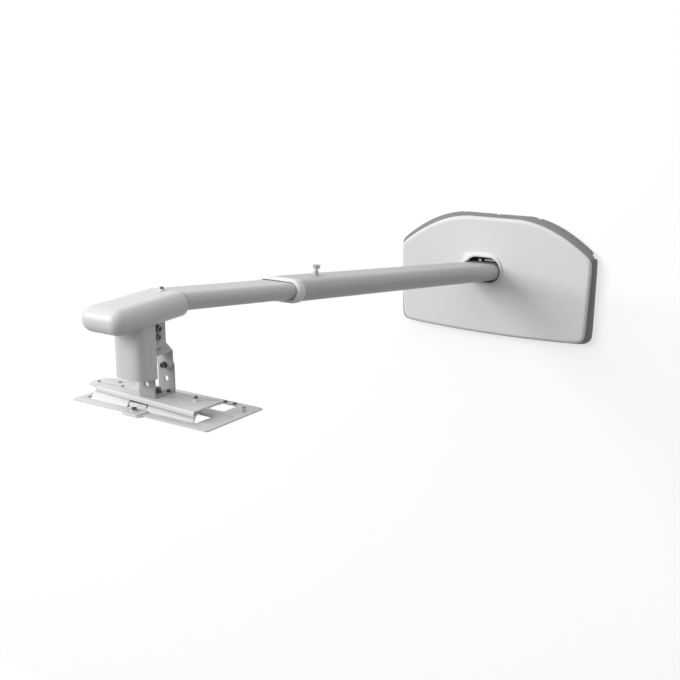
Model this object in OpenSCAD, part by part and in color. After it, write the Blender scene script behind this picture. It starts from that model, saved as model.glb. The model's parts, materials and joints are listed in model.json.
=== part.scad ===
/* [Wall plate and cover] */
// Half width of the moulded cover at its rear rim
cover_half_w = 233; // [215:1:260]
// Radius of the cover's curved top edge
cover_top_r = 495.5; // [440:0.5:600]
// Height of the top of the cover above the plate centre
cover_top_z = 134.5; // [120:0.5:150]
// Depth of the bottom of the cover below the plate centre
cover_bottom_z = 134.5; // [125:0.5:150]
// Radius of the slightly bowed bottom edge
cover_bottom_r = 3480; // [2500:20:5000]
// Radius of the two shoulders
shoulder_r = 88; // [60:1:100]
// Radius of the two bottom corners
corner_r = 28.5; // [15:0.5:45]
// How far the front face of the cover stands off the wall
cover_depth = 28; // [24:1:40]
// Radius of the cover's soft front edge
cover_edge_r = 8; // [4:0.5:10]
// Wall thickness of the moulded covers
cover_wall = 2.4; // [1.6:0.2:3]
// Width of the steel wall plate
wall_plate_w = 390; // [340:5:400]
// Height of the steel wall plate
wall_plate_h = 176; // [150:2:190]
// Thickness of the steel wall plate
wall_plate_t = 3; // [2:0.5:4]
// Depth of the wall plate's folded edges
wall_plate_fold = 14; // [8:1:18]
// Diameter of the wall anchor holes
anchor_d = 10.5; // [8:0.5:13]
// Horizontal spacing of the outer anchor holes
anchor_outer_x = 340; // [300:5:350]
// Horizontal spacing of the inner anchor holes
anchor_inner_x = 220; // [190:5:250]
// Vertical spacing of the anchor holes
anchor_z = 130; // [110:2:140]
/* [Arm] */
// Sideways place of the arm on the wall plate
arm_x = -26; // [-40:1:40]
// Angle by which the arm rises away from the wall
arm_rise = 6.3; // [0:0.1:8]
// Width of the outer arm tube
outer_w = 94; // [90:1:98]
// Height of the outer arm tube
outer_h = 36; // [34:0.5:40]
// Wall thickness of the arm tubes
tube_wall = 2.5; // [2:0.25:3.5]
// Width of the inner arm tube
inner_w = 79; // [76:0.5:82]
// Height of the inner arm tube
inner_h = 27; // [25:0.5:28]
// Length of outer tube in front of the cover, with its end ring
outer_reach = 746; // [600:2:900]
// Length of inner tube that shows in front of the end ring at rest
inner_show = 250; // [220:2:320]
// Length of inner tube that stays inside the outer one at rest
inner_hidden = 290; // [260:2:330]
// Length of the moulded end ring
ring_len = 13; // [10:1:20]
// How far the end ring stands proud of the outer tube
ring_proud = 2; // [1.5:0.1:3.5]
// Gap between the end ring's opening and the inner tube
ring_gap = 1.5; // [1:0.1:1.6]
// Distance of the clamp screw behind the end ring's front
clamp_back = 110; // [90:1:130]
/* [Head] */
// Angle by which the head falls away from the wall
head_fall = 2.7; // [0:0.1:5]
// Width of the head cover
head_w = 82; // [80:0.5:90]
// Height of the head cover
head_h = 36; // [34:0.5:42]
// Length of the head cover
head_len = 146.5; // [140:0.5:170]
// Radius of the head cover's bull nose
nose_r = 15.5; // [8:0.5:16]
// Diameter of the round column cover
column_d = 57; // [55:0.5:62]
// Distance of the column's axis in front of the wall
column_y = 1100; // [1098:1:1102]
// Height of the column's lower rim
column_bottom = 13; // [10:1:16]
/* [Adjuster] */
// Thickness of the folded steel adjuster plates
sheet = 2.5; // [2:0.25:3]
// Height of the tilt pivot
tilt_z = 83; // [82:0.5:84]
// Height of the roll pivot
roll_z = 20; // [19:0.5:22]
// Distance of the rear ear of the roll bracket from the wall
rear_ear_y = 1037.5; // [1036:0.5:1039]
// Distance of the front ear of the roll bracket from the wall
front_ear_y = 1081; // [1080:0.5:1083]
// Width of the roll bracket
ear_w = 31; // [29:0.5:33]
// Width of the tilt cheeks over their outer faces
cheek_w = 36; // [35:0.5:37]
// Diameter of the see-through holes in the ears
ear_hole_d = 8.4; // [6:0.2:9]
/* [Plates] */
// Top of the slide plate
slide_top = -20.5; // [-22:0.5:-20]
// Right end of the slide plate
slide_right = 76; // [70:1:85]
// Left end of the slide plate
slide_left = -151; // [-155:1:-148]
// Depth of the front flange of the slide plate
slide_fold = 7; // [5:0.5:8]
// Width of the projector plate
plate_w = 267.5; // [262:0.5:290]
// Depth of the projector plate
plate_d = 125; // [120:1:140]
// Distance of the projector plate's front edge from the wall
plate_front = 1104; // [1103:0.5:1106]
// Top face of the projector plate
plate_top = -40; // [-41:0.5:-39]
// Thickness of the two plates
plate_t = 2; // [1.5:0.25:2.5]
// Diameter of the projector's screw holes
screw_hole_d = 4.5; // [3.5:0.1:6.5]
// Side to side spacing of the projector's screw holes
screw_span_x = 243; // [230:1:248]
/* [Hidden] */
$fn = 64;
eps = 0.01;
fit = 0.05;
run_gap = 0.4;

// Places that follow from the driving sizes
plate_bend_r = 5;
rim_y = -wall_plate_t;
arm_z = 5.3;
bore_w = outer_w - 2 * tube_wall;
bore_h = outer_h - 2 * tube_wall;
ring_w = outer_w + 2 * ring_proud;
ring_h = outer_h + 2 * ring_proud;
mouth_w = inner_w + 2 * ring_gap;
mouth_h = inner_h + 2 * ring_gap;
kink_t = outer_reach + inner_show;
kink_y = -cover_depth - kink_t * cos(arm_rise);
kink_z = arm_z + kink_t * sin(arm_rise);
flange_y = -wall_plate_t;
flange_t = 5;
tube_back_t = -(cover_depth + flange_y - flange_t) / cos(arm_rise);
head_bottom_z = kink_z - head_h / 2;
tilt_y = -1073;
roll_y_mid = -(rear_ear_y + front_ear_y) / 2;
base_z = slide_top;

// Outline of the wall cover, inset by d: arcs for top, shoulders, sides, corners and bottom
function arc_points(cx, cz, r, a0, a1, n) =
    [for (i = [0:n]) [cx + r * sin(a0 + (a1 - a0) * i / n), cz + r * cos(a0 + (a1 - a0) * i / n)]];
function cover_half(d) =
    let (top_c = cover_top_z - cover_top_r,
        bottom_c = cover_bottom_r - cover_bottom_z,
        sx = cover_half_w - shoulder_r,
        sz = top_c + sqrt(pow(cover_top_r - shoulder_r, 2) - pow(sx, 2)),
        bx = cover_half_w - corner_r,
        bz = bottom_c - sqrt(pow(cover_bottom_r - corner_r, 2) - pow(bx, 2)),
        a_top = atan2(sx, sz - top_c),
        a_bottom = atan2(bx, bottom_c - bz))
    concat(arc_points(0, top_c, cover_top_r - d, 0, a_top, 12),
        arc_points(sx, sz, shoulder_r - d, a_top + 6, 90, 7),
        arc_points(bx, bz, corner_r - d, 90, 180 - a_bottom - 2, 7),
        [for (p = arc_points(0, bottom_c, cover_bottom_r - d, 180 - a_bottom, 180, 5)) p]);
function mirrored(h) = concat(h, [for (i = [len(h) - 2:-1:1]) [-h[i][0], h[i][1]]]);

module cover_slab(d, y0, y1) {
    translate([0, y0, 0]) rotate([90, 0, 0]) linear_extrude(y0 - y1) polygon(mirrored(cover_half(d)));
}

// Flat oval of the arm tubes: true half circles joined by flats
module oval(w, h) {
    union() {
        square([w - h, h], center = true);
        for (s = [-1, 1]) translate([s * (w - h) / 2, 0]) circle(d = h);
    }
}

// A frame whose -Y axis runs along the rising arm, from the cover's face
module arm_frame() {
    translate([arm_x, -cover_depth, arm_z]) rotate([-arm_rise, 0, 0]) children();
}

// Carries an outline in X and Z along the arm, from t0 to t1
module along_arm(t0, t1) {
    arm_frame() translate([0, -t0, 0]) rotate([90, 0, 0]) linear_extrude(t1 - t0) children();
}

// A frame whose -Y axis runs along the falling head, from the bend
module head_space() {
    translate([arm_x, kink_y, kink_z]) rotate([head_fall, 0, 0]) children();
}

// A bolt along +Z: cylinder head with a hexagon socket, shank below the origin
module socket_bolt(d, head_d, head_h, length) {
    difference() {
        union() {
            cylinder(d = head_d, h = head_h);
            translate([0, 0, -length]) cylinder(d = d, h = length + head_h / 2);
        }
        translate([0, 0, head_h * 0.45]) cylinder(d = d * 0.9, h = head_h, $fn = 6);
    }
}

// A plain washer or spacer that stands on the origin
module washer(d, hole_d, t) {
    difference() {
        cylinder(d = d, h = t);
        translate([0, 0, -1]) cylinder(d = hole_d, h = t + 2);
    }
}

module hex_nut(af, hole_d, t) {
    difference() {
        cylinder(d = af / cos(30), h = t, $fn = 6);
        translate([0, 0, -1]) cylinder(d = hole_d, h = t + 2);
    }
}

// Steel plate against the wall, folded forward along its top and bottom edges
module wall_plate() {
    h = wall_plate_h;
    color("#c9cbcd") difference() {
        translate([-wall_plate_w / 2, 0, 0]) rotate([90, 0, 90]) linear_extrude(wall_plate_w)
            difference() {
                union() {
                    translate([-wall_plate_fold, -h / 2]) square([wall_plate_fold - plate_bend_r, h]);
                    translate([-plate_bend_r - eps, -h / 2 + plate_bend_r])
                        square([plate_bend_r + eps, h - 2 * plate_bend_r]);
                    for (s = [-1, 1]) translate([-plate_bend_r, s * (h / 2 - plate_bend_r)])
                        circle(r = plate_bend_r);
                }
                translate([-wall_plate_fold - 1, -h / 2 + wall_plate_t])
                    square([wall_plate_fold + 1 - wall_plate_t, h - 2 * wall_plate_t]);
            }
        for (x = [-anchor_outer_x, -anchor_inner_x, anchor_inner_x, anchor_outer_x])
            for (s = [-1, 1]) translate([x / 2, 1, s * anchor_z / 2]) rotate([90, 0, 0])
                cylinder(d = anchor_d, h = wall_plate_t + 2);
        flange_bolt_places() translate([0, 0, -1 - wall_plate_t]) cylinder(d = flange_bolt_d + 2 * fit, h = 30);
        for (s = [-1, 1]) translate([s * cover_screw_x, 0, 0])
            translate([0, -wall_plate_fold / 2 - 2, -wall_plate_h / 2 - 1]) cylinder(d = 3.2, h = 10);
    }
}

flange_bolt_d = 8;
flange_w = 132;
flange_h = 92;
flange_bolt_x = 112;
flange_bolt_z = 66;
cover_screw_x = 90;

// The four bolt places of the arm flange, with +Z pointing out of the wall
module flange_bolt_places() {
    for (x = [-1, 1]) for (z = [-1, 1])
        translate([arm_x + x * flange_bolt_x / 2, 0, arm_z + z * flange_bolt_z / 2])
            rotate([90, 0, 0]) children();
}

// Moulded cover: thin walls, soft front edge, raised collar round the arm's opening
opening_w = outer_w + 14;
opening_h = outer_h + 19;
opening_z = arm_z + 3.7;
collar_wide = 7;
collar_high = 4;
module cover_solid(d) {
    front = -cover_depth + d;
    r = cover_edge_r - d;
    union() {
        cover_slab(d, d > 0 ? 1 : 0, front + r);
        for (i = [0:2]) hull() {
            cover_slab(d + r * (1 - cos(30 * i)), front + r - r * sin(30 * i) + 0.02, front + r - r * sin(30 * i));
            cover_slab(d + r * (1 - cos(30 * (i + 1))), front + r - r * sin(30 * (i + 1)) + 0.02,
                front + r - r * sin(30 * (i + 1)));
        }
    }
}
module opening_prism(extra, y0, y1) {
    translate([arm_x, y0, opening_z]) rotate([90, 0, 0]) linear_extrude(y0 - y1)
        oval(opening_w + 2 * extra, opening_h + 2 * extra);
}
module wall_cover() {
    color("#e4e5e7") difference() {
        union() {
            difference() {
                cover_solid(0);
                cover_solid(cover_wall);
            }
            opening_prism(collar_wide - 1.5, -cover_depth + 1, -cover_depth - collar_high);
            opening_prism(collar_wide, -cover_depth + 1, -cover_depth - collar_high + 1.5);
            for (s = [-1, 1]) translate([s * cover_screw_x, -wall_plate_fold / 2 - 2, 0])
                cover_screw_post();
        }
        opening_prism(0, -cover_depth + 10, -cover_depth - 10);
        for (x = [-82, 4, 102]) rim_notch(x, 12);
        translate([cover_half_w - 20, -9, 54]) cube([30, 10, 9]);
        translate([-cover_half_w - 10, -9, 54]) cube([30, 10, 9]);
        for (s = [-1, 1]) translate([s * cover_screw_x, -wall_plate_fold / 2 - 2, -cover_bottom_z - 5])
            cylinder(d = 4, h = 60);
    }
}
module rim_notch(x, w) {
    translate([x - w / 2, -7, cover_top_z - 40]) cube([w, 8, 60]);
}
module cover_screw_post() {
    low = cover_bottom_z - 2;
    translate([0, 0, -low]) cylinder(d = 9, h = low - wall_plate_h / 2 - 0.2);
}

module cover_screws() {
    color("#9a9c9f") for (s = [-1, 1])
        translate([s * cover_screw_x, -wall_plate_fold / 2 - 2, -cover_bottom_z - 0.4])
            rotate([180, 0, 0]) socket_bolt(3, 6, 2.5, cover_bottom_z - wall_plate_h / 2 + 7);
}

// Welded foot of the arm: a thick flange with an oval sleeve and two gussets
sleeve_w = outer_w + 2 * fit;
sleeve_h = outer_h + 2 * fit;
module arm_flange() {
    color("#8f9194") difference() {
        union() {
            translate([arm_x - flange_w / 2, flange_y - flange_t, arm_z - flange_h / 2])
                cube([flange_w, flange_t, flange_h]);
            intersection() {
                along_arm(-cover_depth, -2) oval(sleeve_w + 6, sleeve_h + 6);
                translate([arm_x - flange_w / 2, -cover_depth, arm_z - flange_h / 2])
                    cube([flange_w, cover_depth + flange_y, flange_h]);
            }
        }
        along_arm(-cover_depth - 10, 10) oval(sleeve_w, sleeve_h);
        flange_bolt_places() translate([0, 0, -5]) cylinder(d = flange_bolt_d + 2 * fit, h = 30);
    }
}

module flange_bolts() {
    color("#b4b6b9") flange_bolt_places() translate([0, 0, wall_plate_t + flange_t]) {
        washer(16, flange_bolt_d + fit, 1.6);
        translate([0, 0, 1.6]) difference() {
            union() {
                cylinder(d = 13 / cos(30), h = 5.3, $fn = 6);
                translate([0, 0, -wall_plate_t - flange_t - 1.6]) cylinder(d = flange_bolt_d, h = 14);
            }
            translate([0, 0, 4.6]) cylinder(d = 9, h = 2);
        }
    }
}

// Outer tube, cut square to its own axis at the front and flat against the wall plate at the back
module outer_arm() {
    color("#a9abae") difference() {
        intersection() {
            along_arm(-cover_depth - 5, outer_reach - ring_len) difference() {
                oval(outer_w, outer_h);
                oval(bore_w, bore_h);
            }
            translate([arm_x - outer_w, -outer_reach - 100, -100])
                cube([2 * outer_w, outer_reach + 100 + flange_y, 300]);
        }
        clamp_axis() translate([0, 0, -10]) cylinder(d = clamp_hole_d, h = 30);
    }
}

clamp_d = 6;
clamp_hole_d = clamp_d + 2 * fit;
clamp_boss_d = 12;
clamp_boss_h = 5;
module clamp_axis() {
    arm_frame() translate([0, -(outer_reach - clamp_back), outer_h / 2]) children();
}

// Moulded ring that closes the outer tube's mouth
module end_ring() {
    color("#f1f2f3") difference() {
        union() {
            along_arm(outer_reach - ring_len, outer_reach - 1.5) oval(ring_w, ring_h);
            along_arm(outer_reach - 1.5 - eps, outer_reach) oval(ring_w - 2.4, ring_h - 2.4);
        }
        along_arm(outer_reach - ring_len - 1, outer_reach + 1) oval(mouth_w, mouth_h);
    }
}

// Bearing sleeve pressed into the mouth, in which the inner tube slides
guide_len = 34;
module front_guide() {
    color("#3b3c3e") along_arm(outer_reach - ring_len - guide_len, outer_reach - ring_len)
        difference() {
            oval(bore_w, bore_h);
            oval(inner_w + 2 * run_gap, inner_h + 2 * run_gap);
        }
}

// Threaded boss welded over the clamp hole
module clamp_boss() {
    color("#dfe0e2") clamp_axis() difference() {
        union() {
            cylinder(d = clamp_boss_d, h = clamp_boss_h);
            cylinder(d = clamp_boss_d + 4, h = 1.5);
        }
        translate([0, 0, -1]) cylinder(d = clamp_hole_d, h = clamp_boss_h + 2);
    }
}

// Thumb screw with a knurled head: its tip presses on the inner tube
clamp_head_d = 13;
clamp_head_h = 6;
clamp_stand = 8;
module clamp_screw() {
    tip = outer_h / 2 - inner_h / 2;
    grips = 18;
    color("#d0d2d4") clamp_axis() difference() {
        union() {
            translate([0, 0, -tip]) cylinder(d = clamp_d, h = tip + clamp_boss_h + clamp_stand);
            translate([0, 0, clamp_boss_h + 0.3]) cylinder(d = 10, h = 2.5);
            translate([0, 0, clamp_boss_h + clamp_stand]) cylinder(d = clamp_head_d, h = clamp_head_h);
            translate([0, 0, clamp_boss_h + clamp_stand + clamp_head_h])
                cylinder(d1 = clamp_head_d - 1, d2 = clamp_head_d - 4, h = 1.2);
        }
        for (i = [0:grips - 1]) rotate([0, 0, 360 / grips * i])
            translate([clamp_head_d / 2 + 0.2, 0, clamp_boss_h + clamp_stand - 1])
                cylinder(d = 1.4, h = clamp_head_h + 3, $fn = 16);
    }
}

// Inner tube, mitred at its front end where the head cover begins
module inner_arm() {
    color("#b6b8ba") difference() {
        along_arm(outer_reach - inner_hidden, kink_t + 20) difference() {
            oval(inner_w, inner_h);
            oval(inner_w - 2 * tube_wall, inner_h - 2 * tube_wall);
        }
        head_space() translate([-inner_w, -seam_back - 40, -inner_h]) cube([2 * inner_w, 40, 2 * inner_h]);
    }
}

// Moulded plug on the inner tube's rear end, a running fit in the outer tube
module rear_guide() {
    back = outer_reach - inner_hidden;
    plug_w = inner_w - 2 * tube_wall;
    plug_h = inner_h - 2 * tube_wall;
    color("#3b3c3e") union() {
        along_arm(back - 14, back) difference() {
            oval(bore_w - 2 * run_gap, bore_h - 2 * run_gap);
            oval(plug_w - 8, plug_h - 8);
        }
        along_arm(back - eps, back + 20) difference() {
            oval(plug_w, plug_h);
            oval(plug_w - 8, plug_h - 8);
        }
    }
}

// Steel carrier in the head: end plate, folded channel and two hanging cheeks
frame_w = 54;
frame_top = 10.5;
cheek_front = -1085;
cheek_back = -1064;
cheek_low = 54;
lock_r = 17;
module cheek_outline() {
    difference() {
        union() {
            translate([cheek_front, cheek_low + 10]) square([cheek_back - cheek_front, 60]);
            translate([cheek_front + 10, cheek_low])
                square([cheek_back - cheek_front - 20, 12]);
            for (y = [cheek_front + 10, cheek_back - 10]) translate([y, cheek_low + 10]) circle(r = 10);
        }
        translate([tilt_y, tilt_z]) circle(d = tilt_d + 2 * fit);
        lock_slot();
    }
}
tilt_d = 6;
lock_d = 5;
tilt_range = 4;
// Slot round the tilt pivot, long enough for the tilt range
module lock_slot() {
    intersection() {
        translate([tilt_y, tilt_z]) difference() {
            circle(r = lock_r + lock_d / 2 + 0.3);
            circle(r = lock_r - lock_d / 2 - 0.3);
        }
        translate([tilt_y - lock_d / 2 - 2.2, tilt_z - lock_r - 10]) square([lock_d + 4.4, 20]);
    }
}
module head_frame() {
    color("#8b8d90") difference() {
        union() {
            along_arm(kink_t - 4, kink_t) oval(inner_w - 2 * tube_wall - fit, inner_h - 2 * tube_wall - fit);
            head_space() translate([-frame_w / 2, -122, 0]) {
                translate([0, 0, frame_top - 3]) cube([frame_w, 125, 3]);
                for (x = [0, frame_w - 3]) translate([x, 0, -10]) cube([3, 122, frame_top + 10]);
            }
            intersection() {
                for (s = [-1, 1])
                    translate([arm_x + (s > 0 ? cheek_w / 2 - 3 : -cheek_w / 2), 0, 0])
                        rotate([90, 0, 90]) linear_extrude(3) cheek_outline();
                head_space() translate([-40, -140, -100]) cube([80, 140, 100 + frame_top - 2]);
            }
        }
        head_space() translate([0, -head_screw_t, 0]) cylinder(d = head_screw_d, h = 40);
    }
}

// Profile of the head cover from the side: a sleeve with a bull nose, y forward, z up
module nose_profile(h, length, r) {
    union() {
        translate([0, -h / 2]) square([length - r, h]);
        translate([0, -h / 2 + r]) square([length, h - 2 * r]);
        for (s = [-1, 1]) translate([length - r, s * (h / 2 - r)]) circle(r = r);
    }
}
module shell_profile() {
    difference() {
        nose_profile(head_h, head_len, nose_r);
        translate([-1, 0]) nose_profile(head_h - 2 * cover_wall, head_len + 1 - cover_wall, nose_r - cover_wall);
    }
}
seam_back = 5;
module head_cover() {
    flat_w = head_w - head_h;
    color("#d9dadc") difference() {
        head_space() translate([0, -seam_back, 0]) union() {
            translate([-flat_w / 2, 0, 0]) mirror([0, 1, 0]) rotate([90, 0, 90])
                linear_extrude(flat_w) shell_profile();
            for (s = [-1, 1]) translate([s * flat_w / 2, 0, 0]) rotate([90, 0, 0])
                rotate([0, 0, s > 0 ? -90 : 90]) rotate_extrude(angle = 180)
                    intersection() {
                        rotate([0, 0, 90]) mirror([0, 1, 0]) shell_profile();
                        translate([0, -10]) square([head_h, head_len + 20]);
                    }
        }
        translate([arm_x - cheek_w / 2 - 1, cheek_front - 2, kink_z - head_h])
            cube([cheek_w + 2, cheek_back - cheek_front + 4, head_h]);
        head_space() translate([0, -head_screw_t, 0]) cylinder(d = head_screw_d + 0.2, h = 40);
    }
}

head_screw_t = 23;
head_screw_d = 4;
module head_screw() {
    color("#c4c6c8") head_space() translate([0, -head_screw_t, head_h / 2]) {
        socket_bolt(head_screw_d, 7.5, 2.6, head_h / 2 - frame_top + 2);
    }
}

// Round moulded shell that hides the hanger, open at the back
column_open_y = -1084;
module column_cover() {
    r = column_d / 2;
    color("#cfd0d3") difference() {
        translate([arm_x, -column_y, column_bottom]) difference() {
            cylinder(r = r, h = head_bottom_z - column_bottom + 6);
            translate([0, 0, -1]) cylinder(r = r - cover_wall, h = 200);
        }
        translate([arm_x - r - 5, column_open_y, column_bottom - 5]) cube([2 * r + 10, 60, 200]);
        head_space() translate([0, 10, 0]) rotate([90, 0, 0]) linear_extrude(head_len + 40)
            oval(head_w, head_h);
    }
}

module tilt_bolt() {
    color("#b4b6b9") translate([arm_x + cheek_w / 2, tilt_y, tilt_z]) rotate([0, 90, 0])
        translate([0, 0, 1.2]) {
            socket_bolt(tilt_d, 10, 4, cheek_w + 8);
            translate([0, 0, -1.2]) washer(12, tilt_d, 1.2);
        }
}
module tilt_nut() {
    color("#b4b6b9") translate([arm_x - cheek_w / 2, tilt_y, tilt_z]) rotate([0, -90, 0])
        hex_nut(10, tilt_d, 5);
}
module tilt_lock_bolts() {
    color("#b4b6b9") for (s = [0, 1]) translate([arm_x, tilt_y, tilt_z - lock_r])
        rotate([0, 0, s * 180]) translate([cheek_w / 2, 0, 0]) rotate([0, 90, 0])
            translate([0, 0, 0.2]) socket_bolt(lock_d, 9, 3.4, 7);
}

// Folded hanger: two legs, two side flanges with the tilt pivot, a jogged rear web
leg_w = 31;
rear_leg_y = -rear_ear_y - sheet;
front_leg_y = -front_ear_y + sheet;
web_y = rear_leg_y - 19.5;
jog_low = 38;
jog_high = 68;
hanger_top = 91;
hanger_in = cheek_w - 6 - 0.6;
module rounded_leg(y, low, high, w) {
    translate([arm_x, y, 0]) rotate([90, 0, 0]) linear_extrude(sheet) difference() {
        union() {
            translate([-w / 2, low + w / 2]) square([w, high - low - w / 2]);
            translate([0, low + w / 2]) circle(d = w);
        }
        translate([0, roll_z]) circle(d = roll_d + 2 * fit);
    }
}
roll_d = 5;
module hanger() {
    leg_low = roll_z - 6;
    color("#aeb0b3") difference() {
        union() {
            rounded_leg(rear_leg_y, leg_low, jog_low, leg_w);
            rounded_leg(front_leg_y + sheet, leg_low, hanger_top, hanger_in);
            translate([arm_x - leg_w / 2, 0, 0]) rotate([90, 0, 90]) linear_extrude(leg_w)
                polygon([[rear_leg_y, jog_low], [rear_leg_y, jog_low + 0.8], [web_y, jog_high],
                    [web_y, hanger_top], [web_y - sheet, hanger_top], [web_y - sheet, jog_high - 0.8],
                    [rear_leg_y - sheet, jog_low]]);
            for (s = [0, 1]) translate([arm_x + (s > 0 ? hanger_in / 2 - 2 : -hanger_in / 2), 0, 0])
                rotate([90, 0, 90]) linear_extrude(2) translate([front_leg_y, tilt_z - lock_r - 8])
                    square([web_y - front_leg_y, hanger_top - tilt_z + lock_r + 8]);
        }
        translate([arm_x - 40, tilt_y, tilt_z]) rotate([0, 90, 0]) cylinder(d = tilt_d + 2 * fit, h = 80);
        translate([arm_x - 40, tilt_y, tilt_z - lock_r]) rotate([0, 90, 0]) cylinder(d = lock_d, h = 80);
    }
}

// Pivot bolts of the roll joint, heads between the legs
module roll_bolts() {
    color("#8f9194") {
        translate([arm_x, rear_leg_y - sheet - 1, roll_z]) rotate([90, 0, 0]) roll_bolt_one();
        translate([arm_x, front_leg_y + sheet + 1, roll_z]) rotate([-90, 0, 0]) roll_bolt_one();
    }
}
module roll_bolt_one() {
    socket_bolt(roll_d, 8.5, 5, 2 * sheet + 1 + 6);
    translate([0, 0, -1]) washer(10, roll_d, 1);
}
module roll_nuts() {
    color("#b4b6b9") {
        translate([arm_x, -rear_ear_y, roll_z]) rotate([-90, 0, 0]) hex_nut(8, roll_d, 4);
        translate([arm_x, -front_ear_y, roll_z]) rotate([90, 0, 0]) hex_nut(8, roll_d, 4);
    }
}

// Folded U: two ears with rounded tops on a flat base
bend_r = 3;
ear_top = roll_z + 11;
module roll_bracket() {
    color("#d2d3d5") difference() {
        translate([arm_x - ear_w / 2, 0, 0]) rotate([90, 0, 90]) linear_extrude(ear_w)
            difference() {
                union() {
                    translate([-front_ear_y, base_z + bend_r])
                        square([front_ear_y - rear_ear_y, ear_top - base_z - bend_r]);
                    translate([-front_ear_y + bend_r, base_z])
                        square([front_ear_y - rear_ear_y - 2 * bend_r, bend_r + eps]);
                    for (y = [-front_ear_y + bend_r, -rear_ear_y - bend_r])
                        translate([y, base_z + bend_r]) circle(r = bend_r);
                }
                translate([-front_ear_y + sheet, base_z + sheet])
                    square([front_ear_y - rear_ear_y - 2 * sheet, ear_top - base_z]);
            }
        for (s = [-1, 1]) translate([arm_x + s * ear_w / 2, 0, ear_top]) rotate([90, 0, 0])
            linear_extrude(3000, center = true) difference() {
                square(24, center = true);
                translate([-s * 12, -12]) circle(r = 12);
                translate([s > 0 ? -30 : 12 - 12, -30]) square([s > 0 ? 18 : 0.001, 60]);
            }
        translate([arm_x, -900, roll_z]) rotate([90, 0, 0]) cylinder(d = roll_d + 2 * fit, h = 300);
        translate([arm_x, -900, -1.5]) rotate([90, 0, 0]) cylinder(d = ear_hole_d, h = 300);
        translate([arm_x, roll_y_mid, base_z - 5]) cylinder(d = swivel_d + 2 * fit, h = 20);
        swivel_lock_places() rotate([0, 0, 137.5]) translate([0, 0, -10]) small_slot(7.6, 4.5);
    }
}

swivel_d = 6;
module swivel_lock_places() {
    for (s = [-1, 1]) translate([arm_x + s * 11, roll_y_mid + s * 12, base_z + sheet]) children();
}
module swivel_bolt() {
    color("#77797c") translate([arm_x, roll_y_mid, base_z + sheet + 1])  {
        socket_bolt(swivel_d, 10, 6, sheet + 1 + plate_t + 6);
        translate([0, 0, -1]) washer(13, swivel_d, 1);
    }
}
module swivel_nut() {
    color("#b4b6b9") translate([arm_x, roll_y_mid, slide_top - plate_t - 5]) hex_nut(10, swivel_d, 5);
}
module swivel_lock_screws() {
    color("#b4b6b9") swivel_lock_places() socket_bolt(4, 7, 2.6, sheet + plate_t + 3);
}

// Slide plate: pointed left end, slanting front edge with a flange, holes for the adjuster
plates_y = -1066;
slide_front = -1095.5;
slide_back = -1036.5;
slide_taper = 15;
function slide_edge(x) = slide_front + slide_taper * (slide_right - x) / (slide_right - slide_left - 5);
module slide_plate() {
    fold_left = slide_left + 18;
    color("#d9dadc") difference() {
        union() {
            translate([0, 0, slide_top - plate_t]) linear_extrude(plate_t)
                polygon([[slide_right, slide_back], [slide_right, slide_front],
                    [slide_left + 5, slide_edge(slide_left + 5)], [slide_left, -1073], [slide_left, -1052],
                    [slide_left + 4, -1045], [slide_left + 18, slide_back]]);
            translate([0, 0, slide_top - slide_fold]) linear_extrude(slide_fold - eps)
                polygon([[fold_left, slide_edge(fold_left)], [slide_right, slide_front],
                    [slide_right, slide_front + plate_t], [fold_left, slide_edge(fold_left) + plate_t]]);
            translate([fold_left + 10, slide_back - plate_t, slide_top - 4.5])
                cube([slide_right - fold_left - 10, plate_t, 4.5 - eps]);
        }
        translate([arm_x, roll_y_mid, slide_top - 10]) cylinder(d = swivel_d + 2 * fit, h = 20);
        swivel_lock_places() translate([0, 0, -10]) cylinder(d = 4, h = 20);
        translate([slide_left + 5.5, -1062, slide_top - 10]) cylinder(d = 3.6, h = 20);
        translate([-115, -1048, slide_top - 10]) small_slot(7, 3.2);
        translate([-97, -1060.5, slide_top - 10]) small_slot(7, 3.2);
        stud_place() translate([0, 0, -10]) cylinder(d = 4, h = 20);
    }
}
module stud_place() {
    translate([47, -1057, slide_top]) children();
}
module small_slot(l, d) {
    linear_extrude(20) union() {
        square([l - d, d], center = true);
        for (s = [-1, 1]) translate([s * (l - d) / 2, 0]) circle(d = d);
    }
}
module slide_stud() {
    color("#c4c6c8") stud_place() {
        cylinder(d = 7.5, h = 2.4);
        translate([0, 0, -plate_t - 1]) cylinder(d = 4, h = plate_t + 5);
    }
}

// Folded runners under the slide plate: crown, two walls, and feet that reach under the rails
rail_root = 20.5;
rail_crest = 13;
rail_lip = 6.5;
rail_top = -31.5;
rail_t = 1.8;
runner_half = 5.6;
foot_half = 10.4;
foot_top = rail_top - rail_t - 1.4;
runner_spans = [[-90, -50], [2, 58]];
module runner_foot(x0, x1, s, grow) {
    translate([x0, plates_y, 0]) mirror([0, s < 0 ? 1 : 0, 0])
        translate([0, runner_half - rail_t, foot_top - rail_t])
            cube([x1 - x0, foot_half - runner_half + rail_t + grow, rail_t]);
}
module slide_runners() {
    under = slide_top - plate_t;
    color("#b9bbbe") for (x = runner_spans) union() {
        translate([x[0], plates_y - runner_half, under - rail_t]) cube([x[1] - x[0], 2 * runner_half, rail_t]);
        for (s = [-1, 1]) {
            translate([x[0], plates_y + s * (runner_half - rail_t / 2) - rail_t / 2, foot_top - rail_t])
                cube([x[1] - x[0], rail_t, under - foot_top + rail_t - eps]);
            runner_foot(x[0], x[1], s, 0);
        }
    }
}

// Plastic glides clipped round the feet of the runners
module glide_pads() {
    color("#2f3032") for (x = runner_spans) for (s = [-1, 1]) difference() {
        translate([x[0] + 4, plates_y, 0]) mirror([0, s < 0 ? 1 : 0, 0])
            translate([0, runner_half, foot_top - rail_t - 0.8])
                cube([x[1] - x[0] - 8, foot_half + 1 - runner_half, rail_top - foot_top + 0.8]);
        runner_foot(x[0], x[1], s, 0);
    }
}

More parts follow.
